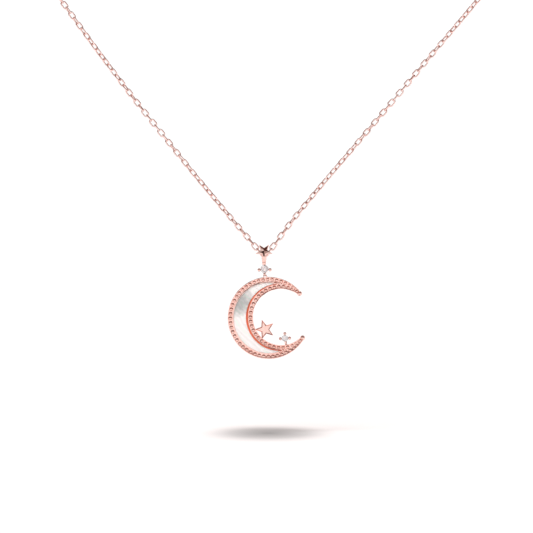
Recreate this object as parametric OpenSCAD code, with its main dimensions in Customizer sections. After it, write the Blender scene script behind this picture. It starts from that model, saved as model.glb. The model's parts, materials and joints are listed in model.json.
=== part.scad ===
// Crescent and star pendant on a fine cable chain, with a lobster clasp and an extender.
// The necklace hangs in the XZ plane, its front faces -Y, and the origin is at the top
// of the loop, where the neck or a stand carries it.

/* [Chain] */
// Outer width of a chain link, which is the thickness of the chain
chain_d = 1.16; // [0.95:0.01:1.35]
// Outer width of an extender link
extender_d = 2; // [1.6:0.05:2.4]
// Free length of the extender chain
extender_len = 48; // [20:1:60]

/* [Bail] */
// Wire of the loop that hangs on the chain
bail_wire = 0.4; // [0.3:0.05:0.5]
// Space left between the chain and the inside of the loop
bail_play = 0.75; // [0.6:0.05:1.2]
// Radius of the bail's star, from its centre to a point
bail_star_r = 1.6; // [1.3:0.05:2]
// Thickness of the bail's star
bail_star_t = 0.4; // [0.3:0.05:0.6]
// How far the star leans back
bail_lean = 22; // [0:1:28]
// Width of the stem where it leaves the star
stem_top_w = 0.95; // [0.7:0.05:1.1]
// Width of the stem where it meets the upper setting
stem_low_w = 0.75; // [0.5:0.05:0.9]
// Length of the stem
stem_len = 1.6; // [1.3:0.05:2.2]

/* [Stones] */
// Diameter of the upper stone
large_stone_d = 1.5; // [1.2:0.05:1.8]
// Diameter of the stone inside the crescent
small_stone_d = 1.2; // [1:0.05:1.4]
// Diameter of a prong
prong_d = 0.3; // [0.24:0.02:0.36]
// Diameter of the ball that a prong ends in
prong_ball_d = 0.54; // [0.44:0.02:0.64]

/* [Link] */
// Wire of the small rings and eyes
eye_wire = 0.18; // [0.16:0.01:0.22]
// Inner radius of the two eyes
eye_r = 0.2; // [0.18:0.01:0.28]
// Radius of the link ring, to the middle of its wire
link_r = 0.38; // [0.36:0.01:0.5]

/* [Crescent] */
// Outer diameter of the crescent
moon_d = 15; // [12.5:0.1:18]
// Diameter of the crescent's round opening
opening_d = 10.3; // [9.4:0.1:11]
// How far the opening's centre is from the crescent's centre
opening_shift = 2.25; // [1.9:0.05:2.6]
// Turn of the opening above the horizontal
moon_turn = 4; // [-10:1:15]
// Half of the gap between the horns, seen from the opening's centre
horn_gap = 48; // [40:1:60]
// Thickness of the crescent, without its beads
moon_t = 1.2; // [1:0.05:1.6]
// Width of the outer beaded border
outer_band = 1.06; // [0.9:0.02:1.2]
// Width of the inner beaded border at its widest
inner_band = 1.28; // [1.1:0.02:1.4]
// Width of the plain rim on each side of the beads
rim_w = 0.13; // [0.1:0.01:0.16]
// Depth of the channel that the beads lie in
channel_depth = 0.18; // [0.1:0.02:0.3]
// Diameter of a bead
bead_d = 0.74; // [0.6:0.02:0.8]
// Distance from bead to bead
bead_pitch = 0.84; // [0.8:0.01:1]

/* [Inlay] */
// Thickness of the mother-of-pearl
pearl_t = 0.4; // [0.3:0.05:0.5]
// How far the mother-of-pearl lies below the rims
pearl_sink = 0.15; // [0.05:0.05:0.3]
// Shift of the inlay's inner edge from the crescent's centre
pearl_shift = 1.95; // [1.7:0.05:2.2]

/* [Star in the crescent] */
// Radius of the star, from its centre to a point
moon_star_r = 1.7; // [1.6:0.05:2]
// Thickness of the star
moon_star_t = 0.6; // [0.4:0.05:0.8]
// Direction of the star's upper point
moon_star_turn = 108; // [100:1:116]

/* [Clasp] */
// Length of the clasp without its tail
clasp_len = 9; // [8.6:0.1:9.6]
// Thickness of the clasp
clasp_t = 2.2; // [1.9:0.05:2.6]
// Radius of the clasp's hook end
hook_r = 2.5; // [2.3:0.05:2.7]
// Radius of the clasp's hub end
hub_r = 1.7; // [1.6:0.05:1.9]
// Width of the hook's metal
hook_w = 1.05; // [0.9:0.05:1.1]
// Diameter of the rivet
rivet_d = 0.8; // [0.6:0.05:1]
// Thickness of the lever
lever_t = 1.1; // [0.8:0.05:1.3]

/* [Rings at the clasp] */
// Radius of the left ring, to the middle of its wire
left_ring_r = 1.3; // [1.2:0.05:1.6]
// Wire of the left ring
left_ring_wire = 0.5; // [0.4:0.05:0.6]
// Radius of the tag ring, to the middle of its wire
tag_ring_r = 2; // [1.9:0.05:2.3]
// Wire of the tag ring
tag_ring_wire = 0.6; // [0.5:0.05:0.7]
// Radius of the extender's first ring
extender_ring_r = 1.1; // [1:0.05:1.3]
// Wire of the extender's first ring and of the drop's ring
extender_wire = 0.4; // [0.3:0.05:0.5]
// Radius of the drop's ring
drop_ring_r = 0.9; // [0.8:0.05:1.1]
// Diameter of the drop
drop_d = 3; // [2.5:0.1:4]
// Length of the drop, below its eye
drop_len = 6; // [5:0.1:8]

/* [Fits] */
// Clearance round the rivet in the lever
rivet_play = 0.04; // [0.02:0.01:0.08]
// Clearance on each side of the lever in its slot
lever_play = 0.08; // [0.05:0.01:0.12]
// Clearance between rings that hang in each other
ring_play = 0.03; // [0.02:0.01:0.06]

/* [Hidden] */
$fn = 48;

rose_gold = "#eebbA8";
pearl_white = "#f4f2f0";
stone_clear = "#e4e8ee";
steel = "#c8c8c8";

// The chain's route, from the left ring round the loop to the tag ring, as [x, z]
route = [
    [-7.8, 0], [-16, -0.4], [-28, -1.6], [-40, -4.8], [-50, -9.8], [-58, -17],
    [-63, -26], [-64.2, -36], [-61.4, -46], [-56.4, -56], [-50.2, -65.6], [-43.8, -74.6],
    [-37.2, -83.4], [-30.6, -92.5], [-23.7, -101.6], [-19, -107.5], [-13, -115],
    [-6.4, -122.9], [-1.9, -128.2], [-0.8, -129.5], [0, -130], [0.8, -129.5],
    [1.9, -128.1], [5, -123.9], [10, -117.8], [15.6, -111.2], [22.2, -103.4],
    [30, -94.1], [39, -83.4], [45.6, -75], [52, -66], [58, -56], [62, -46],
    [64, -36], [63, -26], [58, -17], [50, -9.8], [40, -4.8], [28, -1.6],
    [16, -0.4], [7.1, 0]
];
cord_sides = 8;

// Ring places along the route, closer together at its lowest point
chain_places = concat(
    [for (u = [0 : 17]) u], [for (u = [17.5 : 0.5 : 22.5]) u], [for (u = [23 : len(route) - 1]) u]
);

low_z = -130;
chain_r = chain_d / 2;

// Bail: the loop hangs on the chain, and the star stands in front of it
loop_in_r = chain_r + bail_play / 2;
loop_r = loop_in_r + bail_wire / 2;
loop_z = low_z - (loop_in_r - chain_r) + 0.05;
loop_y = 0.1;
star_x = -0.05;
star_z = low_z + 0.7;
star_weld = 0.06;
star_reach_z = star_z - loop_z;
star_y = loop_y - loop_r - bail_wire / 2 + star_weld - bail_star_t / 2 / cos(bail_lean)
    + star_reach_z * tan(bail_lean);
star_waist = 0.4;
stem_top_z = star_z - bail_star_r * 0.55;
stem_y = star_y - bail_star_r * sin(bail_lean) * 0.6;
stem_low_z = stem_top_z - stem_len;

// Upper setting, seen from the front round the stone's centre
large_x = 0.05;
large_z = stem_low_z - large_stone_d / 2 - 0.05;
large_y = stem_y;
large_balls = [92, 188, 354];
large_claws = [268];
gallery_depth = 0.5;
gallery_back = 0.35;
gallery_share = 0.4;
claw_d = 0.44;
bar_w = 0.24;
link_gap = 0.6;

// Link: both eyes lie in the XZ plane and the ring between them in the YZ plane
link_x = 0.15;
link_y = large_y + gallery_depth + gallery_back + link_gap;
eye_ring_r = eye_r + eye_wire / 2;
eye_post_r = eye_wire * 0.42;
upper_eye_z = large_z - large_stone_d * gallery_share + 0.17;
upper_wire_z = upper_eye_z - eye_ring_r;
link_z = upper_wire_z + eye_wire + ring_play - link_r;
lower_wire_z = link_z - link_r + eye_wire + ring_play;
lower_eye_z = lower_wire_z - eye_ring_r;

// Crescent: its top edge passes through the lower half of its eye
moon_r = moon_d / 2;
opening_r = opening_d / 2;
moon_x = 0.82;
eye_lift = 0.1;
moon_z = lower_eye_z - eye_lift - sqrt(moon_r * moon_r - (link_x - moon_x) * (link_x - moon_x));
moon_front = -moon_t / 2;
pearl_front = moon_front + pearl_sink;
pearl_out_r = moon_r - outer_band;
pearl_in_r = pearl_shift - opening_shift + opening_r + inner_band;
opening_x = moon_x + opening_shift * cos(moon_turn);
opening_z = moon_z + opening_shift * sin(moon_turn);
outer_row_r = moon_r - outer_band / 2;
inner_row_r = opening_r + outer_band / 2;
channel_w = outer_band - 2 * rim_w;
bead_sink = 0.12;
outer_row_half = 142;
inner_row_half = 92;

// Pieces inside the opening are placed from the opening's centre
moon_star_x = opening_x - opening_r * 0.567;
moon_star_z = opening_z - opening_r * 0.435;
moon_star_waist = 0.42;
small_dist = opening_r - small_stone_d / 2 - 0.62;
small_dir = -79.5;
small_x = opening_x + small_dist * cos(small_dir);
small_z = opening_z + small_dist * sin(small_dir);
small_balls = [92, 186, 2];
small_claws = [];
small_post_d = 0.45;

// Clasp: the hub is on the left, the hook on the right
hook_x = clasp_len / 2 - hook_r;
hub_x = -clasp_len / 2 + hub_r;
hook_in_r = hook_r - hook_w;
hub_in_r = 0.75;
hub_in_x = hub_x + hub_r;
tail_x = hub_x - hub_r - 0.35;
tail_r = 0.85;
tail_hole_r = 0.45;
tail_t = 0.9;
gate_reach = hook_x - hub_x + 0.6;
gate_z = -0.2;
slot_t = lever_t + 2 * lever_play;
lever_hub_r = 1.05;
spring_t = 0.14;
spring_w = 0.7;
tab_r = 0.75;
slot_r = lever_hub_r + spring_t + 0.12;
left_ring_x = tail_x - left_ring_r - 0.05;
tag_seat_r = tag_ring_r - tag_ring_wire / 2 - ring_play;
tag_ring_x = hook_x + hook_in_r + sqrt(tag_seat_r * tag_seat_r - clasp_t * clasp_t / 4);

// Extender: hangs from the front of the tag ring
extender_y = -tag_ring_r;
extender_ring_z = tag_ring_wire / 2 + extender_wire / 2 + ring_play - extender_ring_r;
extender_top_z = extender_ring_z - extender_ring_r - extender_wire / 2;
extender_low_z = extender_top_z - extender_len;
drop_gap = 0.22;
drop_ring_z = extender_low_z - drop_gap - drop_ring_r - extender_wire / 2;
drop_eye_r = extender_wire / 2 + 0.25;
drop_eye_wire = 0.3;
drop_wire_z = drop_ring_z - drop_ring_r + extender_wire / 2 + drop_eye_wire / 2 + ring_play;
drop_eye_z = drop_wire_z - drop_eye_r;
drop_ball_z = drop_eye_z - drop_eye_r - drop_len + drop_d / 2;

// A point on the smooth curve through p, where u counts the points
function curve_point(p, u) =
    let (last = len(p) - 1)
    let (i = min(floor(u), last - 1))
    let (t = u - i)
    let (a = p[max(i - 1, 0)], b = p[i], c = p[i + 1], d = p[min(i + 2, last)])
    0.5 * (2 * b + (c - a) * t + (2 * a - 5 * b + 4 * c - d) * t * t
        + (3 * b - a - 3 * c + d) * t * t * t);

// Direction of that curve at u
function curve_way(p, u) =
    let (last = len(p) - 1)
    let (step = 0.02)
    let (v = curve_point(p, min(u + step, last)) - curve_point(p, max(u - step, 0)))
    v / norm(v);

// One ring of a cord that lies in the XZ plane, round point c with the way w
function cord_ring(c, w, r) = [
    for (k = [0 : cord_sides - 1])
        let (a = (k + 0.5) * 360 / cord_sides)
        [c[0] - w[1] * r * cos(a), r * sin(a), c[1] + w[0] * r * cos(a)]
];

// A cord swept along the route p with the ring places us
module cord(p, us, r) {
    n = cord_sides;
    rings = len(us);
    points = [for (u = us) each cord_ring(curve_point(p, u), curve_way(p, u), r)];
    sides = [
        for (i = [0 : rings - 2])
            for (k = [0 : n - 1])
                each [
                    [i * n + k, i * n + (k + 1) % n, (i + 1) * n + (k + 1) % n],
                    [i * n + k, (i + 1) * n + (k + 1) % n, (i + 1) * n + k]
                ]
    ];
    near_end = [for (k = [n - 1 : -1 : 0]) k];
    far_end = [for (k = [0 : n - 1]) (rings - 1) * n + k];
    polyhedron(points, concat([near_end], sides, [far_end]));
}

// A ring of round wire whose axis is Y
module wire_ring(r, wire) {
    rotate([90, 0, 0])
        rotate_extrude()
            translate([r, 0])
                circle(d = wire, $fn = 24);
}

// A flat shape drawn as seen from the front, from y = front to y = back
module plate(front, back) {
    translate([0, back, 0])
        rotate([90, 0, 0])
            linear_extrude(back - front)
                children();
}

// A rod along Y, from y = front to y = back
module rod(x, z, r, front, back) {
    translate([x, back, z])
        rotate([90, 0, 0])
            cylinder(r = r, h = back - front);
}

// A five-point star with one point in the direction turn
module star_2d(r, waist, turn) {
    polygon([
        for (i = [0 : 9])
            let (a = turn + i * 36, q = i % 2 == 0 ? r : r * waist)
            [q * cos(a), q * sin(a)]
    ]);
}

// A round brilliant: crown, girdle and pavilion, with its table towards -Y
module stone(x, y, z, d) {
    crown = d * 0.15;
    girdle = d * 0.06;
    pavilion = d * 0.42;
    translate([x, y, z])
        rotate([90, 0, 0])
            rotate_extrude()
                polygon([
                    [0, -pavilion - girdle], [d / 2, -girdle], [d / 2, 0],
                    [d * 0.29, crown], [0, crown]
                ]);
}

// Prongs that rise from the cup beside a stone of diameter d, whose girdle is at y;
// each ends in a ball of diameter ball
module prongs(x, y, z, d, ball, dirs) {
    reach = d / 2 + ball / 2 - 0.05;
    foot = d * gallery_share * 0.55;
    for (a = dirs) {
        translate([x + reach * cos(a), y, z + reach * sin(a)])
            sphere(d = ball, $fn = 24);
        rod(x + reach * cos(a), z + reach * sin(a), prong_d / 2, y + ball * 0.15,
            y + gallery_depth + bar_w * 0.35);
        translate([x, y + gallery_depth, z])
            rotate([0, -a, 0])
                translate([foot, -bar_w / 2, -bar_w / 2])
                    cube([reach - foot, bar_w, bar_w]);
    }
}

// A prong setting: a low cup behind the stone, with its prongs
module setting(x, y, z, d, balls, claws) {
    rod(x, z, d * gallery_share, y + gallery_depth - prong_d * 0.8,
        y + gallery_depth + gallery_back);
    prongs(x, y, z, d, prong_ball_d, balls);
    prongs(x, y, z, d, claw_d, claws);
}

// The crescent's own frame: x towards the opening
module moon_place_2d() {
    translate([moon_x, moon_z])
        rotate(moon_turn)
            children();
}

module opening_2d() {
    translate([opening_shift, 0])
        circle(r = opening_r, $fn = 96);
}

// The wedge between the horns
module horn_gap_2d() {
    reach = moon_r * 2;
    translate([opening_shift, 0])
        polygon([
            [0, 0],
            [reach * cos(horn_gap), -reach * sin(horn_gap)],
            [reach * 1.5, 0],
            [reach * cos(horn_gap), reach * sin(horn_gap)]
        ]);
}

module moon_2d() {
    difference() {
        circle(r = moon_r, $fn = 96);
        opening_2d();
        horn_gap_2d();
    }
}

module pearl_2d() {
    difference() {
        circle(r = pearl_out_r, $fn = 96);
        translate([pearl_shift, 0])
            circle(r = pearl_in_r, $fn = 96);
    }
}

// The channels that the two rows of beads lie in
module channels_2d() {
    difference() {
        circle(r = outer_row_r + channel_w / 2, $fn = 96);
        circle(r = outer_row_r - channel_w / 2, $fn = 96);
        translate([opening_shift, 0])
            circle(r = opening_r + rim_w, $fn = 96);
        horn_gap_2d();
    }
    difference() {
        translate([opening_shift, 0])
            circle(r = inner_row_r + channel_w / 2, $fn = 96);
        translate([opening_shift, 0])
            circle(r = inner_row_r - channel_w / 2, $fn = 96);
        pearl_2d();
        difference() {
            circle(r = moon_r * 2, $fn = 96);
            circle(r = outer_row_r - channel_w / 2, $fn = 96);
        }
        horn_gap_2d();
    }
}

// Beads at one pitch on a circle round [cx, 0], where they keep clear of the gap
module bead_row(cx, r, half_angle) {
    count = floor(2 * half_angle / 360 * 2 * PI * r / bead_pitch);
    for (i = [0 : count]) {
        a = 180 - half_angle + i * 2 * half_angle / count;
        translate([cx + r * cos(a), moon_front + channel_depth + bead_sink, r * sin(a)])
            sphere(d = bead_d, $fn = 16);
    }
}

// Two round ends joined by straight tangents, with centres on the x axis
module pear(xa, ra, xb, rb, half) {
    lean = asin((rb - ra) / (xb - xa));
    rod(xa, 0, ra, -half, half);
    rod(xb, 0, rb, -half, half);
    plate(-half, half)
        polygon([
            [xa - ra * sin(lean), ra * cos(lean)],
            [xb - rb * sin(lean), rb * cos(lean)],
            [xb - rb * sin(lean), -rb * cos(lean)],
            [xa - ra * sin(lean), -ra * cos(lean)]
        ]);
}

// The clasp's ring, from its hub to its hook, with its hole
module clasp_ring(half) {
    difference() {
        pear(hub_x, hub_r, hook_x, hook_r, half);
        pear(hub_in_x, hub_in_r, hook_x, hook_in_r, half * 2);
    }
}

// The side of the clasp that the lever closes, out to gap past the lever's end
module gate(gap) {
    intersection() {
        rod(hub_x, 0, gate_reach + gap, -clasp_t, clasp_t);
        translate([hub_x, -clasp_t, gate_z - hook_r * 2])
            cube([gate_reach * 2, clasp_t * 2, hook_r * 2]);
    }
}

module chain() {
    color(rose_gold)
        cord(route, chain_places, chain_r);
}

// The stem as a solid, which the star's lower point ends in
module bail_stem_body() {
    translate([star_x, stem_y, stem_low_z])
        cylinder(d1 = stem_low_w, d2 = stem_top_w, h = stem_len);
}

// The bail's star as a solid, which its loop is cut to fit
module bail_star_body() {
    translate([star_x, star_y, star_z])
        rotate([-bail_lean, 0, 0])
            plate(-bail_star_t / 2, bail_star_t / 2)
                star_2d(bail_star_r, star_waist, -90);
}

module bail_loop() {
    color(rose_gold)
        difference() {
            translate([0, loop_y, loop_z])
                rotate([0, 0, 90])
                    wire_ring(loop_r, bail_wire);
            bail_star_body();
            bail_stem_body();
        }
}

module bail_star() {
    color(rose_gold)
        difference() {
            bail_star_body();
            bail_stem_body();
        }
}

module large_setting() {
    color(rose_gold)
        difference() {
            union() {
                bail_stem_body();
                setting(large_x, large_y, large_z, large_stone_d, large_balls, large_claws);
                rod(link_x, upper_eye_z + eye_ring_r, eye_post_r,
                    large_y + gallery_depth + gallery_back - 0.1, link_y - eye_wire / 4);
            }
            stone(large_x, large_y, large_z, large_stone_d);
        }
}

module large_stone() {
    color(stone_clear)
        stone(large_x, large_y, large_z, large_stone_d);
}

module setting_eye() {
    color(rose_gold)
        translate([link_x, link_y, upper_eye_z])
            wire_ring(eye_ring_r, eye_wire);
}

module link_ring() {
    color(rose_gold)
        translate([link_x, link_y, link_z])
            rotate([0, 0, 90])
                wire_ring(link_r, eye_wire);
}

module moon_eye() {
    color(rose_gold)
        difference() {
            translate([link_x, link_y, lower_eye_z])
                wire_ring(eye_ring_r, eye_wire);
            rod(moon_x, moon_z, moon_r, moon_front, moon_t / 2);
        }
}

module moon_frame() {
    color(rose_gold) {
        difference() {
            plate(moon_front, moon_t / 2)
                moon_place_2d()
                    moon_2d();
            plate(moon_front - 1, pearl_front + pearl_t)
                moon_place_2d()
                    pearl_2d();
            plate(moon_front - 1, moon_front + channel_depth)
                moon_place_2d()
                    channels_2d();
        }
        translate([moon_x, 0, moon_z])
            rotate([0, -moon_turn, 0]) {
                bead_row(0, outer_row_r, outer_row_half);
                bead_row(opening_shift, inner_row_r, inner_row_half);
            }
    }
}

module pearl_inlay() {
    color(pearl_white)
        plate(pearl_front, pearl_front + pearl_t)
            moon_place_2d()
                pearl_2d();
}

module moon_star() {
    color(rose_gold)
        intersection() {
            plate(-moon_star_t / 2, moon_star_t / 2)
                translate([moon_star_x, moon_star_z])
                    star_2d(moon_star_r, moon_star_waist, moon_star_turn);
            rod(opening_x, opening_z, opening_r, -moon_t, moon_t);
        }
}

module small_setting() {
    color(rose_gold)
        difference() {
            intersection() {
                union() {
                    setting(small_x, moon_front, small_z, small_stone_d, small_balls,
                        small_claws);
                    translate([small_x, moon_front + gallery_depth, small_z])
                        rotate([0, 90 - small_dir, 0])
                            cylinder(d = small_post_d, h = opening_r);
                }
                rod(opening_x, opening_z, opening_r, -moon_t * 2, moon_t * 2);
            }
            stone(small_x, moon_front, small_z, small_stone_d);
        }
}

module small_stone() {
    color(stone_clear)
        stone(small_x, moon_front, small_z, small_stone_d);
}

module left_ring() {
    color(rose_gold)
        translate([left_ring_x, 0, 0])
            rotate([90, 0, 0])
                wire_ring(left_ring_r, left_ring_wire);
}

// The slot: round the lever's hub, and open below it for the thumb tab
module slot() {
    rod(hub_x, 0, slot_r, -slot_t / 2, slot_t / 2);
    translate([hub_x - tab_r, -slot_t / 2, -hub_r * 2])
        cube([hub_r * 2 + tab_r, slot_t, hub_r * 2]);
}

module clasp_body() {
    color(rose_gold)
        difference() {
            union() {
                difference() {
                    clasp_ring(clasp_t / 2);
                    difference() {
                        gate(lever_play);
                        rod(hub_x, 0, hub_r, -clasp_t * 2, clasp_t * 2);
                    }
                }
                rod(tail_x, 0, tail_r, -tail_t / 2, tail_t / 2);
            }
            slot();
            rod(hub_x, 0, rivet_d / 2, -clasp_t, clasp_t);
            rod(tail_x, 0, tail_hole_r, -clasp_t, clasp_t);
        }
}

module clasp_lever() {
    half = lever_t / 2;
    color(rose_gold)
        difference() {
            union() {
                intersection() {
                    clasp_ring(half);
                    gate(0);
                }
                rod(hub_x, 0, lever_hub_r, -half, half);
                rod(hub_x + tab_r, -hub_r - tab_r * 0.4, tab_r, -half, half);
            }
            rod(hub_x, 0, rivet_d / 2 + rivet_play, -clasp_t, clasp_t);
        }
}

module clasp_rivet() {
    color(rose_gold)
        rod(hub_x, 0, rivet_d / 2, -clasp_t / 2, clasp_t / 2);
}

module clasp_spring() {
    color(steel)
        plate(-spring_w / 2, spring_w / 2)
            translate([hub_x, 0])
                difference() {
                    circle(r = lever_hub_r + spring_t);
                    circle(r = lever_hub_r);
                    translate([-hub_r, -hub_r])
                        square([hub_r * 2, hub_r + lever_hub_r * 0.6]);
                }
}

module tag_ring() {
    color(rose_gold)
        translate([tag_ring_x, 0, 0])
            rotate([90, 0, 0])
                wire_ring(tag_ring_r, tag_ring_wire);
}

module extender_ring() {
    color(rose_gold)
        translate([tag_ring_x, extender_y, extender_ring_z])
            rotate([0, 0, 90])
                wire_ring(extender_ring_r, extender_wire);
}

module extender_chain() {
    color(rose_gold)
        translate([tag_ring_x, extender_y, 0])
            cord([[0, extender_top_z], [0, extender_low_z]], [0, 0.25, 0.5, 0.75, 1],
                extender_d / 2);
}

module drop_ring() {
    color(rose_gold)
        translate([tag_ring_x, extender_y, drop_ring_z])
            rotate([0, 0, 90])
                wire_ring(drop_ring_r, extender_wire);
}

module extender_drop() {
    color(rose_gold)
        translate([tag_ring_x, extender_y, 0]) {
            translate([0, 0, drop_eye_z])
                wire_ring(drop_eye_r, drop_eye_wire);
            difference() {
                union() {
                    translate([0, 0, drop_ball_z])
                        sphere(d = drop_d);
                    translate([0, 0, drop_ball_z + drop_d * 0.2])
                        cylinder(r1 = drop_d * 0.4583, r2 = 0.2,
                            h = drop_eye_z - drop_eye_r - drop_ball_z - drop_d * 0.2);
                }
                translate([0, 0, drop_eye_z])
                    sphere(r = drop_eye_r - drop_eye_wire / 2);
            }
        }
}

chain();
bail_loop();
bail_star();
large_setting();
large_stone();
setting_eye();
link_ring();
moon_eye();
moon_frame();
pearl_inlay();
moon_star();
small_setting();
small_stone();
left_ring();
clasp_body();
clasp_lever();
clasp_rivet();
clasp_spring();
tag_ring();
extender_ring();
extender_chain();
drop_ring();
extender_drop();
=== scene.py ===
import json
import math

import bpy
from mathutils import Matrix, Vector

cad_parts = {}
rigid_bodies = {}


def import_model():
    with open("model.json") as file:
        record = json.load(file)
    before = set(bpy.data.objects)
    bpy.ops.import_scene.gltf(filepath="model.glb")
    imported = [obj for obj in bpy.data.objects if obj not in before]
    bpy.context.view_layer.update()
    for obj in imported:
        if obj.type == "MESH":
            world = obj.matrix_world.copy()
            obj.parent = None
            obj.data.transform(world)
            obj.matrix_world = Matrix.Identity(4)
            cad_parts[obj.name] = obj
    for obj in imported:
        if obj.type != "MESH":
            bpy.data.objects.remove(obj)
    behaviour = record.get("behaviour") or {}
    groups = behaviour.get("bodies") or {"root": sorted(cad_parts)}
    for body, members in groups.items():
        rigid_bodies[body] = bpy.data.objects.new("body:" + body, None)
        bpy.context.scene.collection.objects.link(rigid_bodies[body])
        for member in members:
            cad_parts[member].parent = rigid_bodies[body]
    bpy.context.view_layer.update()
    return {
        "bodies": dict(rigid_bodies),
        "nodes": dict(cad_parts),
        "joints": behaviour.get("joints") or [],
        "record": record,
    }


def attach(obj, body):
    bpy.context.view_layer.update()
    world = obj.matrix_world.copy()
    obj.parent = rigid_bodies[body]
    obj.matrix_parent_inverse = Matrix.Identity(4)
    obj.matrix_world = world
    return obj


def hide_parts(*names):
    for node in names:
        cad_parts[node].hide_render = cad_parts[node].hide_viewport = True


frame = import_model()
nodes = frame["nodes"]
mm = 0.001

scene = bpy.context.scene
scene.view_settings.view_transform = "Standard"


# A long lens, level with the crescent; places in millimetres
cameraSetup = {"x": 0.4, "height": -132.1, "away": 600, "lens": 221.5, "near": 10, "far": 20000}

cameraData = bpy.data.cameras.new("pendantCamera")
cameraData.lens = cameraSetup["lens"]
cameraData.clip_start = cameraSetup["near"] * mm
cameraData.clip_end = cameraSetup["far"] * mm
camera = bpy.data.objects.new("pendantCamera", cameraData)
camera.location = (cameraSetup["x"] * mm, -cameraSetup["away"] * mm, cameraSetup["height"] * mm)
camera.rotation_euler = (math.radians(90), 0, 0)
scene.collection.objects.link(camera)
scene.camera = camera
print("camera ready")


def linearColour(hexColour):
    channels = []
    for start in (1, 3, 5):
        value = int(hexColour[start:start + 2], 16) / 255
        channels.append(value / 12.92 if value <= 0.04045 else ((value + 0.055) / 1.055) ** 2.4)
    return (*channels, 1)


def addNode(tree, kind, settings=None, links=None):
    # settings that start with a capital or a digit are sockets, the rest are the node's own
    node = tree.nodes.new(kind)
    for name, value in (settings or {}).items():
        if name[0].isupper() or name[0].isdigit():
            node.inputs[int(name) if name.isdigit() else name].default_value = value
        else:
            setattr(node, name, value)
    for name, source in (links or {}).items():
        tree.links.new(source, node.inputs[int(name) if name.isdigit() else name])
    return node


def addRamp(tree, source, stops, blend="LINEAR"):
    # stops are (place, hex colour)
    ramp = addNode(tree, "ShaderNodeValToRGB", None, {"Fac": source})
    ramp.color_ramp.interpolation = blend
    elements = ramp.color_ramp.elements
    while len(elements) < len(stops):
        elements.new(0.5)
    for element, (place, colour) in zip(elements, stops):
        element.position = place
        element.color = linearColour(colour)
    return ramp.outputs["Color"]


def addNoise(tree, place, size, detail, roughness=0.5):
    # size is the spacing of the pattern in millimetres
    return addNode(tree, "ShaderNodeTexNoise",
                   {"Scale": 1 / (size * mm), "Detail": detail, "Roughness": roughness}, {"Vector": place})


def addRelief(tree, shader, height, strength):
    bump = addNode(tree, "ShaderNodeBump", {"Strength": strength, "Distance": 0.01 * mm}, {"Height": height})
    tree.links.new(bump.outputs["Normal"], shader.inputs["Normal"])


def multiplyColours(tree, first, second):
    mix = addNode(tree, "ShaderNodeMix", {"data_type": "RGBA", "blend_type": "MULTIPLY", "0": 1.0},
                  {"6": first, "7": second})
    return mix.outputs[2]


def clearSelection():
    if bpy.context.object and bpy.context.object.mode != "OBJECT":
        bpy.ops.object.mode_set(mode="OBJECT")
    bpy.ops.object.select_all(action="DESELECT")


def makeActive(piece):
    clearSelection()
    piece.select_set(True)
    bpy.context.view_layer.objects.active = piece


meshParts = {"VERT": "vertices", "EDGE": "edges", "FACE": "polygons"}


def pick(piece, kind, wanted):
    # leaves edit mode on, with only the points, edges or faces that pass the test picked
    makeActive(piece)
    bpy.ops.object.mode_set(mode="EDIT")
    bpy.ops.mesh.select_mode(type=kind)
    bpy.ops.mesh.select_all(action="DESELECT")
    bpy.ops.object.mode_set(mode="OBJECT")
    for part in getattr(piece.data, meshParts[kind]):
        part.select = wanted(part)
    bpy.ops.object.mode_set(mode="EDIT")


def cleanMesh(piece, gap=0.0005):
    # merges doubles and turns every face outwards; gap is in the piece's own units
    makeActive(piece)
    bpy.ops.object.mode_set(mode="EDIT")
    bpy.ops.mesh.select_all(action="SELECT")
    bpy.ops.mesh.remove_doubles(threshold=gap)
    bpy.ops.mesh.normals_make_consistent(inside=False)
    bpy.ops.object.mode_set(mode="OBJECT")


def applyModifier(piece, kind, **settings):
    makeActive(piece)
    modifier = piece.modifiers.new(kind.lower(), kind)
    for name, value in settings.items():
        setattr(modifier, name, value)
    bpy.ops.object.modifier_apply(modifier=modifier.name)


def roundEdges(piece, width, angle=30):
    # two small steps on every edge sharper than the angle
    applyModifier(piece, "BEVEL", width=width, segments=2, limit_method="ANGLE",
                  angle_limit=math.radians(angle), use_clamp_overlap=True)


def smoothPiece(piece, angle):
    makeActive(piece)
    bpy.ops.object.shade_smooth_by_angle(angle=math.radians(angle))


def joinPieces(pieces, name):
    clearSelection()
    for piece in pieces:
        piece.select_set(True)
    bpy.context.view_layer.objects.active = pieces[0]
    if len(pieces) > 1:
        bpy.ops.object.join()
    whole = bpy.context.object
    whole.name = name
    whole.data.name = name
    return whole


def copyPiece(piece, place):
    twin = piece.copy()
    twin.data = piece.data.copy()
    scene.collection.objects.link(twin)
    twin.matrix_world = place
    return twin


def settle(piece, place=None):
    # moves a piece to its place and leaves its object at the origin
    makeActive(piece)
    if place is not None:
        piece.matrix_world = place @ piece.matrix_world
    bpy.ops.object.transform_apply(location=True, rotation=True, scale=True)
    return piece


def turned(degrees, axis):
    return Matrix.Rotation(math.radians(degrees), 4, axis)


def frontPlace(x, y, z, turn=0, lean=0):
    # from a drawing in millimetres, x right, y up and z to the front, to the necklace's own frame
    return (Matrix.Translation((x * mm, y * mm, z * mm)) @ turned(90 - lean, "X") @ turned(turn, "Z")
            @ Matrix.Scale(mm, 4))


def finishPiece(piece, name, body, material, replaced):
    piece.name = name
    piece.data.name = name
    piece.data.materials.clear()
    piece.data.materials.append(material)
    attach(piece, body)
    if replaced:
        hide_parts(*replaced)


def cylinderAt(x, y, radius, low, high, sides):
    clearSelection()
    bpy.ops.mesh.primitive_cylinder_add(vertices=sides, radius=radius, depth=high - low,
                                        location=(x, y, (low + high) / 2))
    return settle(bpy.context.object)


def boxAt(low, high):
    clearSelection()
    bpy.ops.mesh.primitive_cube_add(size=1, location=[(a + b) / 2 for a, b in zip(low, high)])
    box = bpy.context.object
    box.scale = [b - a for a, b in zip(low, high)]
    return settle(box)


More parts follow.
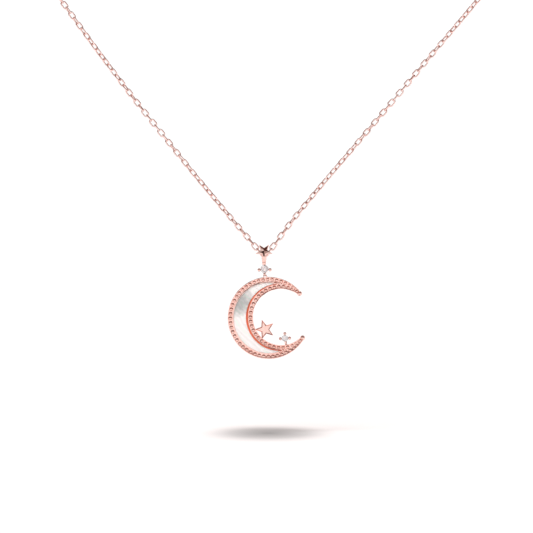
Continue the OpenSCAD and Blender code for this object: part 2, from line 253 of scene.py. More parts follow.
def carve(piece, tool, how="DIFFERENCE"):
    applyModifier(piece, "BOOLEAN", operation=how, object=tool, solver="EXACT")
    bpy.data.objects.remove(tool)


def drawLine(points):
    # a line of points, each pulled out of the one before; edit mode stays on with the whole line picked
    clearSelection()
    bpy.ops.mesh.primitive_plane_add(size=0.01)
    piece = bpy.context.object
    bpy.ops.object.mode_set(mode="EDIT")
    bpy.ops.mesh.select_mode(type="VERT")
    bpy.ops.mesh.merge(type="CENTER")
    bpy.ops.transform.translate(value=points[0])
    for before, after in zip(points, points[1:]):
        step = [b - a for a, b in zip(before, after)]
        bpy.ops.mesh.extrude_region_move(TRANSFORM_OT_translate={"value": step})
    bpy.ops.mesh.select_all(action="SELECT")
    return piece


def turnPiece(profile, steps):
    # a piece turned round z; the profile's points are (radius, height), both ends on the axis
    piece = drawLine([(radius, 0, height) for radius, height in profile])
    bpy.ops.mesh.spin(steps=steps, angle=2 * math.pi, center=(0, 0, 0), axis=(0, 0, 1))
    bpy.ops.object.mode_set(mode="OBJECT")
    cleanMesh(piece)
    return piece


def prism(corners, low, high):
    # an outline drawn corner by corner, filled and pulled up
    piece = drawLine([(x, y, low) for x, y in corners])
    bpy.ops.mesh.edge_face_add()
    bpy.ops.mesh.extrude_region_move(TRANSFORM_OT_translate={"value": (0, 0, high - low)})
    bpy.ops.object.mode_set(mode="OBJECT")
    cleanMesh(piece)
    return piece


def startMaterial(name):
    material = bpy.data.materials.new(name)
    material.use_nodes = True
    tree = material.node_tree
    tree.nodes.clear()
    output = addNode(tree, "ShaderNodeOutputMaterial")
    shader = addNode(tree, "ShaderNodeBsdfPrincipled")
    tree.links.new(shader.outputs["BSDF"], output.inputs["Surface"])
    place = addNode(tree, "ShaderNodeTexCoord").outputs["Object"]
    return material, tree, shader, place


def platedMetal(name, paleColour, deepColour, roughness, polish, waver):
    # polish is the spacing of the polishing marks in millimetres, waver the plating's soft change of tone
    material, tree, shader, place = startMaterial(name)
    shader.inputs["Metallic"].default_value = 1
    tone = addNoise(tree, place, waver, 3)
    colour = addRamp(tree, tone.outputs["Fac"], [(0.3, deepColour), (0.7, paleColour)])
    tree.links.new(colour, shader.inputs["Base Color"])
    marks = addNoise(tree, place, polish, 4)
    spread = addNode(tree, "ShaderNodeMapRange",
                     {"To Min": roughness * 0.75, "To Max": roughness * 1.3}, {"Value": marks.outputs["Fac"]})
    tree.links.new(spread.outputs["Result"], shader.inputs["Roughness"])
    addRelief(tree, shader, marks.outputs["Fac"], 0.12)
    return material


# Rose gold plate on bright-cut chain: pale pink, mirror-like, with small soft scuffs from tumbling
chainGold = platedMetal("rose gold plated chain", "#fbe3dd", "#f5d0c8", 0.14, 0.35, 3)
# Cast and plated rose gold, with painted shade: the same plate painted a deeper, more orange pink for the
# light the beads mirror between them
castGoldPaintedShade = platedMetal("cast rose gold plate with painted shade", "#fad9d0", "#f3c4b8", 0.15, 0.3, 4)
# The same plate down in the pocket, with painted shade: where it only mirrors itself, that shade is painted
# into its colour as a deep orange line beside the shell
pocketPaintedShadeGold = platedMetal("rose gold with painted pocket shade", "#ee8568", "#e36a4a", 0.32, 0.3, 4)
# Hand-polished flats of rose gold, with painted light: the same plate painted a paler face for the room it
# mirrors
flatGoldPaintedLight = platedMetal("polished rose gold with painted light", "#fadbd2", "#f2cabf", 0.12, 0.25, 3)
# Spring steel strip: grey, with a fine rolled grain
springSteel = platedMetal("rolled spring steel", "#c9c9c9", "#adadad", 0.3, 0.12, 2)


# Spacings in millimetres; the cloud's centre is given as x and z
shellLook = {
    "waver": 3.0, "bend": 0.9, "band": 1.1, "streak": 0.8,
    "silk": [(0.0, "#d9d6d5"), (0.45, "#e5e3e2"), (0.75, "#e5d8d8"), (1.0, "#d6dfd9")],
    "cloudCentre": (-3.9, -138.3), "cloudTurn": 35, "cloudWide": 2.3, "cloudTall": 3.4,
    "cloudDeep": 9000,  # runs right through the shell
    "cloud": [(0.03, "#ffffff"), (0.16, "#d9dcdb"), (0.36, "#b4b9b8")],
    "waveRatio": 0.314,  # a wave texture of this scale has bands one unit apart
}


def shellMaterial(look):
    # Mother-of-pearl, ground flat and polished: silky bands, pale green and pink hints, a grey cloud
    material, tree, shader, place = startMaterial("polished mother-of-pearl")
    waver = addNoise(tree, place, look["waver"], 2)
    bent = addNode(tree, "ShaderNodeVectorMath",
                   {"operation": "MULTIPLY_ADD", "1": (look["bend"] * mm,) * 3},
                   {"0": waver.outputs["Color"], "2": place}).outputs["Vector"]
    bands = addNode(tree, "ShaderNodeTexWave",
                    {"bands_direction": "DIAGONAL", "Scale": look["waveRatio"] / (look["band"] * mm),
                     "Distortion": 3, "Detail": 3, "Detail Scale": 1.4}, {"Vector": bent})
    silk = addRamp(tree, bands.outputs["Fac"], look["silk"])
    cloudX, cloudZ = look["cloudCentre"]
    centred = addNode(tree, "ShaderNodeMapping",
                      {"vector_type": "TEXTURE", "Location": (cloudX * mm, 0, cloudZ * mm),
                       "Rotation": (0, math.radians(look["cloudTurn"]), 0),
                       "Scale": (look["cloudWide"] * mm, look["cloudDeep"] * mm, look["cloudTall"] * mm)},
                      {"Vector": bent})
    patch = addNode(tree, "ShaderNodeTexGradient", {"gradient_type": "SPHERICAL"},
                    {"Vector": centred.outputs["Vector"]})
    streak = addNoise(tree, bent, look["streak"], 5, 0.65)
    depth = addNode(tree, "ShaderNodeMath", {"operation": "MULTIPLY"},
                    {"0": patch.outputs["Fac"], "1": streak.outputs["Fac"]})
    cloud = addRamp(tree, depth.outputs["Value"], look["cloud"])
    tree.links.new(multiplyColours(tree, silk, cloud), shader.inputs["Base Color"])
    shader.inputs["Roughness"].default_value = 0.22
    shader.inputs["Coat Weight"].default_value = 0.6
    shader.inputs["Coat Roughness"].default_value = 0.08
    addRelief(tree, shader, bands.outputs["Fac"], 0.1)
    return material


pearlShell = shellMaterial(shellLook)

stoneLook = {"dust": 0.5, "clear": "#fcfdff", "shade": "#e9ecf0", "transmission": 0.6}


def stoneMaterial(look):
    # Cubic zirconia, cut and polished: clear, with bright and grey facets and a breath of dust
    material, tree, shader, place = startMaterial("cut cubic zirconia")
    dust = addNoise(tree, place, look["dust"], 2)
    tone = addRamp(tree, dust.outputs["Fac"], [(0.35, look["shade"]), (0.6, look["clear"])])
    tree.links.new(tone, shader.inputs["Base Color"])
    shader.inputs["Roughness"].default_value = 0.02
    shader.inputs["IOR"].default_value = 2.15
    shader.inputs["Transmission Weight"].default_value = look["transmission"]
    return material


clearStone = stoneMaterial(stoneLook)
print("materials ready")


# The same route as the chain's solid, in millimetres, as x and z
chainRoute = [
    (-7.8, 0), (-16, -0.4), (-28, -1.6), (-40, -4.8), (-50, -9.8), (-58, -17),
    (-63, -26), (-64.2, -36), (-61.4, -46), (-56.4, -56), (-50.2, -65.6), (-43.8, -74.6),
    (-37.2, -83.4), (-30.6, -92.5), (-23.7, -101.6), (-19, -107.5), (-13, -115),
    (-6.4, -122.9), (-1.9, -128.2), (-0.8, -129.5), (0, -130), (0.8, -129.5),
    (1.9, -128.1), (5, -123.9), (10, -117.8), (15.6, -111.2), (22.2, -103.4),
    (30, -94.1), (39, -83.4), (45.6, -75), (52, -66), (58, -56), (62, -46),
    (64, -36), (63, -26), (58, -17), (50, -9.8), (40, -4.8), (28, -1.6),
    (16, -0.4), (7.1, 0),
]
chain = {
    "linkLong": 1.74, "linkWide": 1.16, "wire": 0.29, "pitch": 1.17,
    "lowest": 20,  # the route's point that the bail hangs on
    "steps": 24,  # straight steps between two points of the route
    "leftEnd": -7.25, "rightEnd": 6.41,  # where the end links bear on their rings
    "leftTwist": -2.7, "rightTwist": 2.33,  # degrees for each millimetre
}


def curvePoint(points, u):
    # a smooth curve through all the points; u counts them from 0
    last = len(points) - 1
    i = min(int(u), last - 1)
    t = u - i
    a, b, c, d = (points[k] for k in (max(i - 1, 0), i, i + 1, min(i + 2, last)))
    return 0.5 * (2 * b + (c - a) * t + (2 * a - 5 * b + 4 * c - d) * t * t
                  + (3 * b - a - 3 * c + d) * t * t * t)


def measuredWay(points):
    # the same points, each with its distance from the start
    way = [(0.0, points[0])]
    for before, after in zip(points, points[1:]):
        way.append((way[-1][0] + (after - before).length, after))
    return way


def wayPoint(way, distance):
    distance = min(max(distance, 0), way[-1][0])
    low, high = 0, len(way) - 1
    while high - low > 1:
        middle = (low + high) // 2
        if way[middle][0] <= distance:
            low = middle
        else:
            high = middle
    share = (distance - way[low][0]) / (way[high][0] - way[low][0])
    return way[low][1].lerp(way[high][1], share)


def ovalLink(length, width, wire, around=12, section=5):
    # a round ring of wire, pulled out into an oval along x
    clearSelection()
    bpy.ops.mesh.primitive_torus_add(major_segments=around, minor_segments=section,
                                     major_radius=(width - wire) / 2, minor_radius=wire / 2)
    link = bpy.context.object
    link.rotation_euler = (0, 0, math.pi / around)
    settle(link)
    pull = (length - width) / 2
    pick(link, "VERT", lambda v: v.co.x > 0)
    bpy.ops.transform.translate(value=(pull, 0, 0))
    pick(link, "VERT", lambda v: v.co.x < 0)
    bpy.ops.transform.translate(value=(-pull, 0, 0))
    bpy.ops.object.mode_set(mode="OBJECT")
    bpy.ops.object.shade_smooth()
    return link


def linkPlace(start, end, roll):
    # a link from one bearing point to the next; with no roll it lies in the XZ plane
    along = (end - start).normalized()
    across = Vector((0, -1, 0)).cross(along)
    axes = Matrix((along, across, along.cross(across))).transposed().to_4x4()
    return Matrix.Translation((start + end) / 2 * mm) @ axes @ turned(roll, "X") @ Matrix.Scale(mm, 4)


routePoints = [Vector((x, 0, z)) for x, z in chainRoute]


def routeSide(heading, spans, end):
    # close points from the lowest one to the left or right end, and on to the ring
    steps = chain["steps"]
    points = [curvePoint(routePoints, chain["lowest"] + heading * k / steps)
              for k in range(spans * steps + 1)]
    return points + [Vector((end, 0, 0))]


def chainSide(points, twist, link):
    # links from the lowest point to one end; the last one has to lie flat on its ring
    way = measuredWay(points)
    count = round(way[-1][0] / chain["pitch"] - 0.5)
    pitch = way[-1][0] / (count + 0.5)
    full = 90 * (2 * round((twist * way[-1][0] / 90 - count) / 2) + count)
    links = []
    for i in range(1, count + 1):
        middle = i * pitch
        roll = 90 * i + full * middle / (count * pitch)
        start = wayPoint(way, middle - pitch / 2)
        end = wayPoint(way, middle + pitch / 2)
        links.append(copyPiece(link, linkPlace(start, end, roll)))
    return links, wayPoint(way, pitch / 2)


def neckChain():
    link = ovalLink(chain["linkLong"], chain["linkWide"], chain["wire"])
    leftPoints = routeSide(-1, chain["lowest"], chain["leftEnd"])
    rightPoints = routeSide(1, len(routePoints) - 1 - chain["lowest"], chain["rightEnd"])
    leftLinks, lowStart = chainSide(leftPoints, chain["leftTwist"], link)
    rightLinks, lowEnd = chainSide(rightPoints, chain["rightTwist"], link)
    lowLink = copyPiece(link, linkPlace(lowStart, lowEnd, 0))
    bpy.data.objects.remove(link)
    links = [lowLink] + leftLinks + rightLinks
    return settle(joinPieces(links, "neckChain")), len(links)


chainPiece, linkCount = neckChain()
finishPiece(chainPiece, "neckChain", "root", chainGold, ["chain"])


extender = {
    "x": 4.70654, "y": -2.0, "top": -1.47, "low": -50.49, "count": 22, "linkWide": 2.0, "wire": 0.36,
    "solidTop": -1.87, "solidLow": -49.87, "pathSteps": 15,  # ends of its plain solid
}


def extenderChain():
    pitch = (extender["top"] - extender["low"]) / extender["count"]
    link = ovalLink(pitch + 2 * extender["wire"], extender["linkWide"], extender["wire"], 14, 6)
    links = []
    for i in range(extender["count"]):
        start = Vector((extender["x"], extender["y"], extender["top"] - i * pitch))
        links.append(copyPiece(link, linkPlace(start, start - Vector((0, 0, pitch)), 90 * i)))
    bpy.data.objects.remove(link)
    return settle(joinPieces(links, "extenderChain"))


extenderPiece = extenderChain()
finishPiece(extenderPiece, "extenderChain", "extender", chainGold, ["extender_chain"])
print("extender ready")


# Girdle centres and diameters in millimetres
stones = {
    "large": {"x": 0.05, "y": -1.3562, "z": -132.58, "d": 1.5},
    "small": {"x": 3.7808, "y": -0.6, "z": -145.2072, "d": 1.2},
    "turn": 11, "tip": -0.46,
    # corners of the facets: how many, radius and height as shares of the diameter, and turn
    "rings": [(8, 0.29, 0.15, 22.5), (8, 0.415, 0.088, 0), (16, 0.5, 0.0, 0),
              (16, 0.5, -0.04, 0), (8, 0.22, -0.28, 22.5)],
}


def cutStone(d):
    # table, crown, girdle and pavilion corners, wrapped in one hull of flat facets
    parts = []
    for count, radius, height, turn in stones["rings"]:
        clearSelection()
        bpy.ops.mesh.primitive_circle_add(vertices=count, radius=radius * d, location=(0, 0, height * d),
                                          rotation=(0, 0, math.radians(turn)))
        parts.append(bpy.context.object)
    clearSelection()
    bpy.ops.mesh.primitive_plane_add(size=0.01 * d, location=(0, 0, stones["tip"] * d))
    parts.append(bpy.context.object)
    stone = settle(joinPieces(parts, "stone"))
    bpy.ops.object.mode_set(mode="EDIT")
    bpy.ops.mesh.select_all(action="SELECT")
    bpy.ops.mesh.convex_hull()
    bpy.ops.mesh.select_all(action="SELECT")
    bpy.ops.mesh.normals_make_consistent(inside=False)
    bpy.ops.object.mode_set(mode="OBJECT")
    return stone


for size, name, body, replaced in (("large", "upperStone", "bail", "large_stone"),
                                   ("small", "lowerStone", "moon", "small_stone")):
    spot = stones[size]
    stone = settle(cutStone(spot["d"]), frontPlace(spot["x"], spot["y"], spot["z"], stones["turn"]))
    finishPiece(stone, name, body, clearStone, [replaced])
print("stones ready")


setting = {
    # directions of the prongs in degrees; the claw is a smaller ball under the upper stone
    "large": {"balls": (92, 188, 354), "claws": (268,), "ball": 0.62, "claw": 0.46},
    "small": {"balls": (92, 186, 2), "claws": (), "ball": 0.58, "claw": 0.44},
    "depth": 0.5,  # from the girdle down to the cup's rim
    "cupShare": 0.4,  # the cup's radius as a share of the stone's diameter
    # outlines: (share of the radius, height), the ball's heights as shares too
    "cupShape": ((0, 0.04), (0.62, 0.1), (0.88, 0.24), (1, 0.2), (0.98, 0.02), (0.86, -0.2625),
                 (0.74, -0.35), (0, -0.35)),
    "ballShape": ((0, 0.98), (0.45, 0.88), (0.8, 0.58), (0.99, 0.1), (0.9, -0.42)),
    "wire": 0.3, "bar": 0.13, "barEdge": 0.03, "bite": 0.05,  # bite: how far a ball laps over the stone
    "neckShare": 0.52, "neckLow": 0.85, "footShare": 0.35, "footLow": 0.06, "footEnd": 0.13,
}


def prong(ball):
    # a round wire that ends in a melted ball, its girdle level with the stone's
    r, wire, foot = ball / 2, setting["wire"], -setting["depth"]
    profile = [(r * out, r * up) for out, up in setting["ballShape"]]
    profile += [(wire * setting["neckShare"], -r * setting["neckLow"]), (wire / 2, foot - setting["footLow"]),
                (wire * setting["footShare"], foot - setting["footEnd"]), (0, foot - setting["footEnd"])]
    return turnPiece(profile, 14)


def prongSetting(d, look):
    # drawn round the stone: the cup behind it, and the prongs beside it on short bars
    rim = -setting["depth"]
    cupR = d * setting["cupShare"]
    parts = [turnPiece([(cupR * out, rim + up) for out, up in setting["cupShape"]], 24)]
    for ball, directions in ((look["ball"], look["balls"]), (look["claw"], look["claws"])):
        reach = d / 2 + ball / 2 - setting["bite"]
        for direction in directions:
            outward = turned(direction, "Z")
            parts.append(settle(prong(ball), outward @ Matrix.Translation((reach, 0, 0))))
            bar = cylinderAt(0, 0, setting["bar"], cupR / 2, reach, 10)
            roundEdges(bar, setting["barEdge"])
            parts.append(settle(bar, outward @ Matrix.Translation((0, 0, rim)) @ turned(90, "Y")))
    return parts


stem = {"x": -0.05, "y": -1.3562, "top": -130.18, "low": -131.78, "topWide": 0.95, "lowWide": 0.75,
        # outlines: (share of the radius, height above the top or the foot)
        "head": ((0, 0), (0.86, 0), (1, -0.08), (0.93, -0.48)),
        "foot": ((1.02, 0.52), (0.82, 0.45), (0.82, 0.38), (1.02, 0.31), (1, 0.06), (0.85, 0), (0, 0))}
eyePost = {"x": 0.15, "z": -132.72, "r": 0.0756, "front": 0.606, "back": -0.05}


def upperSetting():
    spot = stones["large"]
    parts = prongSetting(spot["d"], setting["large"])
    for part in parts:
        settle(part, frontPlace(spot["x"], spot["y"], spot["z"]))
    # the stem narrows downwards, with a fine turned groove above its foot
    long = stem["top"] - stem["low"]
    topR, lowR = stem["topWide"] / 2, stem["lowWide"] / 2
    profile = [(topR * out, long + up) for out, up in stem["head"]]
    profile += [(lowR * out, up) for out, up in stem["foot"]]
    post = turnPiece(profile, 24)
    parts.append(settle(post, Matrix.Translation((stem["x"] * mm, stem["y"] * mm, stem["low"] * mm))
                        @ Matrix.Scale(mm, 4)))
    # the short wire back to the eye
    wire = cylinderAt(0, 0, eyePost["r"], eyePost["back"], eyePost["front"], 12)
    parts.append(settle(wire, frontPlace(eyePost["x"], 0, eyePost["z"])))
    return joinPieces(parts, "upperSetting")


# The post that runs from the lower setting into the beaded border
lowerPost = {"r": 0.2, "from": 0.2, "to": 1.35, "edge": 0.04, "direction": -79.5}


def lowerSetting():
    spot = stones["small"]
    parts = prongSetting(spot["d"], setting["small"])
    post = cylinderAt(0, 0, lowerPost["r"], lowerPost["from"], lowerPost["to"], 12)
    roundEdges(post, lowerPost["edge"])
    parts.append(settle(post, turned(lowerPost["direction"], "Z")
                        @ Matrix.Translation((0, 0, -setting["depth"])) @ turned(90, "Y")))
    for part in parts:
        settle(part, frontPlace(spot["x"], spot["y"], spot["z"]))
    return joinPieces(parts, "lowerSetting")


for piece, body, replaced in ((upperSetting(), "bail", "large_setting"),
                              (lowerSetting(), "moon", "small_setting")):
    smoothPiece(piece, 40)
    finishPiece(piece, piece.name, body, flatGoldPaintedLight, [replaced])
print("settings ready")


# Waist is the inner corners' radius as a share of the points'; ridge is how far the middle stands up
bailStar = {"x": -0.05, "y": -0.99658, "z": -129.3, "r": 1.6, "waist": 0.4, "thick": 0.4, "lean": 22,
            "turn": -90, "bevel": 0.1, "ridge": 0.16}
moonStar = {"x": 0.12, "y": 0, "z": -143.61, "r": 1.86, "waist": 0.43, "thick": 0.6, "lean": 0,
            "turn": 108, "bevel": 0.17, "ridge": 0.0}


def fivePointStar(look):
    # a ten-cornered disc with every second corner drawn in, its front edge bevelled
    clearSelection()
    bpy.ops.mesh.primitive_cylinder_add(vertices=10, radius=look["r"], depth=look["thick"],
                                        rotation=(0, 0, math.radians(look["turn"] - 90)))
    star = settle(bpy.context.object)
    points = [math.radians(look["turn"] + 72 * k) for k in range(5)]

    def isWaist(p):
        away = [abs(math.remainder(math.atan2(p.y, p.x) - point, 2 * math.pi)) for point in points]
        return min(away) > math.radians(18)

    def isOutline(edge):
        # an edge of the front face that runs from a point to a waist
        ends = [star.data.vertices[k].co for k in edge.vertices]
        inFront = all(e.z > look["thick"] * 0.49 and e.xy.length > 0.05 for e in ends)
        return inFront and isWaist(ends[0]) != isWaist(ends[1])

    pick(star, "VERT", lambda v: isWaist(v.co))
    bpy.ops.transform.resize(value=(look["waist"], look["waist"], 1), center_override=(0, 0, 0))
    if look["ridge"]:
        # the face rises to its middle in ten soft facets
        pick(star, "FACE", lambda f: f.normal.z > 0.9)
        bpy.ops.mesh.poke()
        pick(star, "VERT", lambda v: v.co.z > 0 and v.co.xy.length < 0.01)
        bpy.ops.transform.translate(value=(0, 0, look["ridge"]))
    pick(star, "EDGE", isOutline)
    bpy.ops.mesh.bevel(offset=look["bevel"], segments=1, affect="EDGES")
    bpy.ops.object.mode_set(mode="OBJECT")
    cleanMesh(star)
    return star


for look, name, body, replaced in ((bailStar, "bailStar", "bail", "bail_star"),
                                   (moonStar, "crescentStar", "moon", "moon_star")):
    star = settle(fivePointStar(look), frontPlace(look["x"], look["y"], look["z"], lean=look["lean"]))
    smoothPiece(star, 20)
    finishPiece(star, name, body, flatGoldPaintedLight, [replaced])
print("stars ready")


# Drawn flat round the centre of its outer edge, in millimetres; the opening's centre lies to the right
crescent = {
    "x": 0.82, "z": -141.5, "turn": 4, "outerR": 7.5, "openingR": 5.15, "shift": 2.25,
    "hornGap": 48, "hornR": 0.43, "front": 0.6, "back": -0.6, "rim": 0.13, "channel": 0.18,
    "endWall": 0.018,  # what is left standing at a horn's end, in radians
    "pocketR": 6.44, "pocketInR": 6.13, "pocketShift": 1.95, "pocketFloor": 0.05,
    "innerRow": 6.05,  # outer edge of the inner beads, from the opening's centre
    "wallEnd": 2.2, "stripEnd": 2.0, "stripProud": 0.03, "stripDeep": 0.3,
    "sides": 160, "openingSides": 128, "edge": 0.03, "stripEdge": 0.025,
    "over": 1.0,  # how far a cutting tool reaches past the metal
}


def hornWedge(angle, low, high):
    # the wedge that opens the crescent between its horns
    reach = crescent["outerR"] * 2
    away, aside = reach * math.cos(angle), reach * math.sin(angle)
    corners = [(0, 0), (away, -aside), (reach * 1.6, 0), (away, aside)]
    return prism([(x + crescent["shift"], y) for x, y in corners], low, high)


def hornTip(side):
    # middle of the crescent's width at the end of a horn
    c = crescent
    angle = math.radians(c["hornGap"])
    outer = math.sqrt(c["outerR"] ** 2 - (c["shift"] * math.sin(angle)) ** 2) - c["shift"] * math.cos(angle)
    reach = (outer + c["openingR"]) / 2
    return c["shift"] + reach * math.cos(angle), side * reach * math.sin(angle)


def crescentFrame():
    c = crescent
    low, high, over, sides = c["back"], c["front"], c["over"], c["sides"]
    gap = math.radians(c["hornGap"])
    floor = high - c["channel"]
    far = c["outerR"] * 1.2
    frame = cylinderAt(0, 0, c["outerR"], low, high, sides)
    carve(frame, cylinderAt(c["shift"], 0, c["openingR"], low - over, high + over, c["openingSides"]))
    carve(frame, hornWedge(gap, low - over, high + over))
    # blunt round ends on the horns, one bead wide
    for side in (1, -1):
        x, y = hornTip(side)
        carve(frame, cylinderAt(x, y, c["hornR"], low, floor, 40), "UNION")
    # the sunk borders that the beads lie in, with a thin rim left standing on both sides
    sunk = cylinderAt(0, 0, c["outerR"] - c["rim"], floor, high + over, sides)
    carve(sunk, cylinderAt(c["shift"], 0, c["openingR"] + c["rim"], floor - over, high + over * 2,
                           c["openingSides"]))
    carve(sunk, hornWedge(gap + c["endWall"], floor - over, high + over * 2))
    wall = cylinderAt(0, 0, c["pocketR"] + c["rim"], floor - over / 2, high + over * 1.5, sides)
    carve(wall, cylinderAt(c["shift"], 0, c["innerRow"], floor - over, high + over * 2, c["openingSides"]))
    carve(wall, boxAt((c["wallEnd"], -far, floor - over), (far, far, high + over * 2)))
    carve(sunk, wall)
    carve(frame, sunk)
    # the pocket for the shell
    pocket = cylinderAt(0, 0, c["pocketR"], c["pocketFloor"], high + over, sides)
    carve(pocket, cylinderAt(c["pocketShift"], 0, c["pocketInR"], c["pocketFloor"] - over, high + over * 2,
                             sides))
    carve(frame, pocket)
    cleanMesh(frame, 0.002)
    roundEdges(frame, c["edge"], 50)
    return frame


def pocketStrip():
    # the plain polished strip between the inner beads and the shell, widest in the middle
    c = crescent
    low, high, over = c["front"] - c["stripDeep"], c["front"] + c["stripProud"], c["over"]
    far = c["outerR"] * 1.2
    strip = cylinderAt(c["pocketShift"], 0, c["pocketInR"], low, high, c["sides"])
    carve(strip, cylinderAt(c["shift"], 0, c["innerRow"], low - over, high + over, c["openingSides"]))
    carve(strip, boxAt((c["stripEnd"], -far, low - over), (far, far, high + over)))
    cleanMesh(strip, 0.002)
    roundEdges(strip, c["stripEdge"], 50)
    return strip


beads = {
    "r": 0.37, "step": 0.84, "smallest": 0.2, "edge": 0.06,  # edge: bare metal at both sides of a row
    "innerStart": 0.07, "outerStart": 0.0605, "hornEnd": 0.1,  # radians
    "singleShare": 0.94, "singleStep": 1.9,  # the single row on the last of a horn
    "fillers": (96, 90.5, 85.5, 81), "fillerShare": 1.15, "fillerLeast": 0.13,
    "cut": 0.2, "sink": 0.32, "rimShare": 0.6,
}


def crescentWidth(angle):
    # width of the crescent along a ray from the opening's centre
    shift, outerR = crescent["shift"], crescent["outerR"]
    outer = math.sqrt(outerR * outerR - (shift * math.sin(angle)) ** 2) - shift * math.cos(angle)
    return outer - crescent["openingR"]


def rowBead(width):
    return min(beads["r"], (width - 2 * beads["edge"]) / 4)


def innerRow():
    # from the middle of the crescent to a horn, two beads wide at first and then single
    c, spots = crescent, []
    angle = math.pi - beads["innerStart"]
    while rowBead(crescentWidth(angle)) >= beads["smallest"]:
        radius = rowBead(crescentWidth(angle))
        reach = c["openingR"] + c["rim"] * beads["rimShare"] + radius
        spots.append((c["shift"] + reach * math.cos(angle), reach * math.sin(angle), radius))
        angle -= radius * beads["step"] / beads["r"] / reach
    while angle > math.radians(c["hornGap"]) + beads["hornEnd"]:
        width = crescentWidth(angle)
        radius = (width / 2 - beads["edge"]) * beads["singleShare"]
        reach = c["openingR"] + width / 2
        spots.append((c["shift"] + reach * math.cos(angle), reach * math.sin(angle), radius))
        angle -= radius * beads["singleStep"] / reach
    return spots + [(*hornTip(1), c["hornR"])]


def outerRow():
    c, spots = crescent, []
    angle = beads["outerStart"]
    while True:
        x, y = -math.cos(angle), math.sin(angle)
        seen = math.atan2(y * c["outerR"], x * c["outerR"] - c["shift"])
        radius = rowBead(crescentWidth(seen))
        if radius < beads["smallest"]:
            return spots
        reach = c["outerR"] - c["rim"] * beads["rimShare"] - radius
        spots.append((reach * x, reach * y, radius))
        angle += radius * beads["step"] / beads["r"] / reach


def fillerBeads():
    # small ones between the rows, past the shell's tip
    spots = []
    for angle in (math.radians(degrees) for degrees in beads["fillers"]):
        width = crescentWidth(angle)
        gap = width / 2 - beads["edge"] - 2 * beads["r"]
        radius = max(gap * beads["fillerShare"], beads["fillerLeast"])
        reach = crescent["openingR"] + width / 2
        spots.append((crescent["shift"] + reach * math.cos(angle), reach * math.sin(angle), radius))
    return spots


halfSpots = innerRow() + outerRow() + fillerBeads()
beadSpots = [(x, side * y, radius) for side in (1, -1) for x, y, radius in halfSpots]


def crescentBeads():
    # one domed bead, cut level with the sunk floor, then copied to every spot
    clearSelection()
    bpy.ops.mesh.primitive_uv_sphere_add(segments=14, ring_count=10, radius=1)
    bead = bpy.context.object
    bpy.ops.object.mode_set(mode="EDIT")
    bpy.ops.mesh.select_all(action="SELECT")
    bpy.ops.mesh.bisect(plane_co=(0, 0, beads["cut"]), plane_no=(0, 0, 1), clear_inner=True, use_fill=True)
    bpy.ops.object.mode_set(mode="OBJECT")
    cleanMesh(bead)
    floor = crescent["front"] - crescent["channel"]
    copies = []
    for x, y, radius in beadSpots:
        place = Matrix.Translation((x, y, floor - radius * beads["sink"]))
        copies.append(copyPiece(bead, place @ Matrix.Scale(radius, 4)))
    bpy.data.objects.remove(bead)
    return settle(joinPieces(copies, "crescentBeads"))


moonPlace = frontPlace(crescent["x"], 0, crescent["z"], crescent["turn"])
for piece, name, angle, material, replaced in (
        (crescentFrame(), "crescentFrame", 30, castGoldPaintedShade, ["moon_frame"]),
        (pocketStrip(), "pocketStrip", 30, pocketPaintedShadeGold, []),
        (crescentBeads(), "crescentBeads", 50, castGoldPaintedShade, [])):
    settle(piece, moonPlace)
    smoothPiece(piece, angle)
    finishPiece(piece, name, "moon", material, replaced)
print("crescent ready with", len(beadSpots), "beads")


# Pieces that keep the shape they were designed with
keptNodes = {
    "bail_loop": flatGoldPaintedLight, "setting_eye": castGoldPaintedShade, "link_ring": castGoldPaintedShade, "moon_eye": castGoldPaintedShade,
    "pearl_inlay": pearlShell, "left_ring": chainGold, "clasp_body": flatGoldPaintedLight, "clasp_lever": flatGoldPaintedLight,
    "clasp_rivet": flatGoldPaintedLight, "clasp_spring": springSteel, "tag_ring": chainGold,
    "extender_ring": chainGold, "drop_ring": chainGold, "extender_drop": flatGoldPaintedLight,
}
for name, material in keptNodes.items():
    node = nodes[name]
    node.data.materials.clear()
    node.data.materials.append(material)
print("kept nodes ready")


studio = {
    # floor height, then the shadow painted on the floor below the pendant: its middle, width, depth and grey
    # tones
    "floor": -162.6, "floorSize": 8000, "paintedShadowX": 0.7, "paintedShadowWide": 14.0, "paintedShadowDeep": 34,
    "shade": [(0.0, "#ffffff"), (0.25, "#f2f2f2"), (0.5, "#cdcdcd"), (0.9, "#9c9c9c")],
    "sun": 3.3, "sunAngle": 50, "sunTilt": (38, -18), "room": 1.1, "backdrop": 1.05,
    # what the metal mirrors: bright and darker bands from below to above
    "bands": [(0.0, "#f2f2f2"), (0.34, "#e8e8e8"), (0.42, "#8c6a60"), (0.47, "#f8f8f8"), (0.6, "#ffffff"),
              (0.68, "#7c5f57"), (0.74, "#ffffff"), (0.88, "#f4f4f4"), (0.95, "#54342d")],
    # dark flags at both sides
    "flags": [(0.45, "#ffffff"), (0.6, "#94685c"), (0.78, "#7d5348"), (0.92, "#f0dcd6")],
    # two small dark openings up beside the camera, which each bead and the bail's star mirror
    "spots": ((-0.36, -0.8, 0.48), (0.42, -0.6, 0.68)),
    "spot": [(0.92, "#ffffff"), (0.97, "#4a302b")],
}


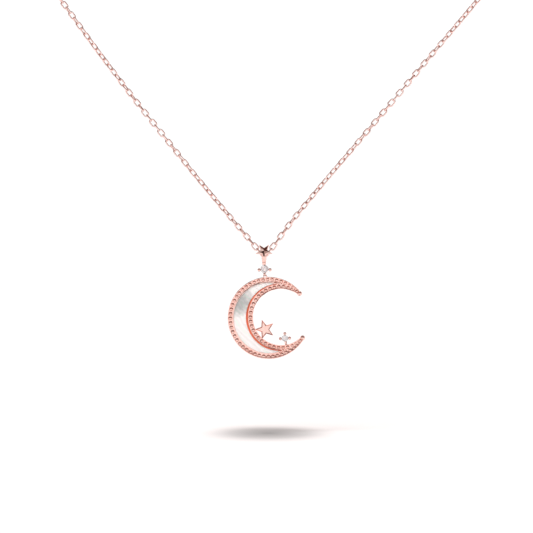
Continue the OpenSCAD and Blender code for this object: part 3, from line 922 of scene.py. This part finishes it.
def floorMaterial():
    # Matt white board, with a soft shadow painted into its colour below the pendant
    material, tree, shader, place = startMaterial("matt white board with painted shadow")
    grain = addNoise(tree, place, 4, 3)
    board = addRamp(tree, grain.outputs["Fac"], [(0.3, "#fdfdfd"), (0.7, "#ffffff")])
    # the painted shadow: a soft grey spot under the pendant, darker towards its middle
    centred = addNode(tree, "ShaderNodeMapping",
                      {"vector_type": "TEXTURE",
                       "Location": (studio["paintedShadowX"] * mm, 0, studio["floor"] * mm),
                       "Scale": (studio["paintedShadowWide"] * mm, studio["paintedShadowDeep"] * mm, 1)}, {"Vector": place})
    shade = addNode(tree, "ShaderNodeTexGradient", {"gradient_type": "SPHERICAL"},
                    {"Vector": centred.outputs["Vector"]})
    tone = addRamp(tree, shade.outputs["Fac"], studio["shade"], "B_SPLINE")
    tree.links.new(multiplyColours(tree, board, tone), shader.inputs["Base Color"])
    shader.inputs["Roughness"].default_value = 0.9
    shader.inputs["Specular IOR Level"].default_value = 0.2
    return material


clearSelection()
bpy.ops.mesh.primitive_plane_add(size=studio["floorSize"] * mm, location=(0, 0, studio["floor"] * mm))
floor = settle(bpy.context.object)
floor.name = "studioFloor"
floor.data.materials.append(floorMaterial())

sunData = bpy.data.lights.new("softOverhead", "SUN")
sunData.energy = studio["sun"]
sunData.angle = math.radians(studio["sunAngle"])
sun = bpy.data.objects.new("softOverhead", sunData)
sun.rotation_euler = (*(math.radians(tilt) for tilt in studio["sunTilt"]), 0)
sun.visible_glossy = False  # the metal mirrors the room, not the lamp
scene.collection.objects.link(sun)


def studioWorld():
    # white all round for the eye, and the banded room for the metal
    world = bpy.data.worlds.new("whiteStudio")
    scene.world = world
    world.use_nodes = True
    tree = world.node_tree
    tree.nodes.clear()
    output = addNode(tree, "ShaderNodeOutputWorld")
    way = addNode(tree, "ShaderNodeTexCoord").outputs["Generated"]
    parts = addNode(tree, "ShaderNodeSeparateXYZ", None, {"Vector": way})
    height = addNode(tree, "ShaderNodeMapRange", {"From Min": -1, "From Max": 1},
                     {"Value": parts.outputs["Z"]})
    aside = addNode(tree, "ShaderNodeMath", {"operation": "ABSOLUTE"}, {"0": parts.outputs["X"]})
    colour = multiplyColours(tree, addRamp(tree, height.outputs["Result"], studio["bands"]),
                             addRamp(tree, aside.outputs["Value"], studio["flags"]))
    for direction in studio["spots"]:
        towards = addNode(tree, "ShaderNodeVectorMath",
                          {"operation": "DOT_PRODUCT", "1": Vector(direction).normalized()}, {"0": way})
        colour = multiplyColours(tree, colour, addRamp(tree, towards.outputs["Value"], studio["spot"]))
    room = addNode(tree, "ShaderNodeBackground", {"Strength": studio["room"]}, {"Color": colour})
    seen = addNode(tree, "ShaderNodeBackground", {"Color": (1, 1, 1, 1), "Strength": studio["backdrop"]})
    path = addNode(tree, "ShaderNodeLightPath")
    mix = addNode(tree, "ShaderNodeMixShader", None,
                  {"0": path.outputs["Is Camera Ray"], "1": room.outputs[0], "2": seen.outputs[0]})
    tree.links.new(mix.outputs[0], output.inputs["Surface"])


studioWorld()
print("studio ready")
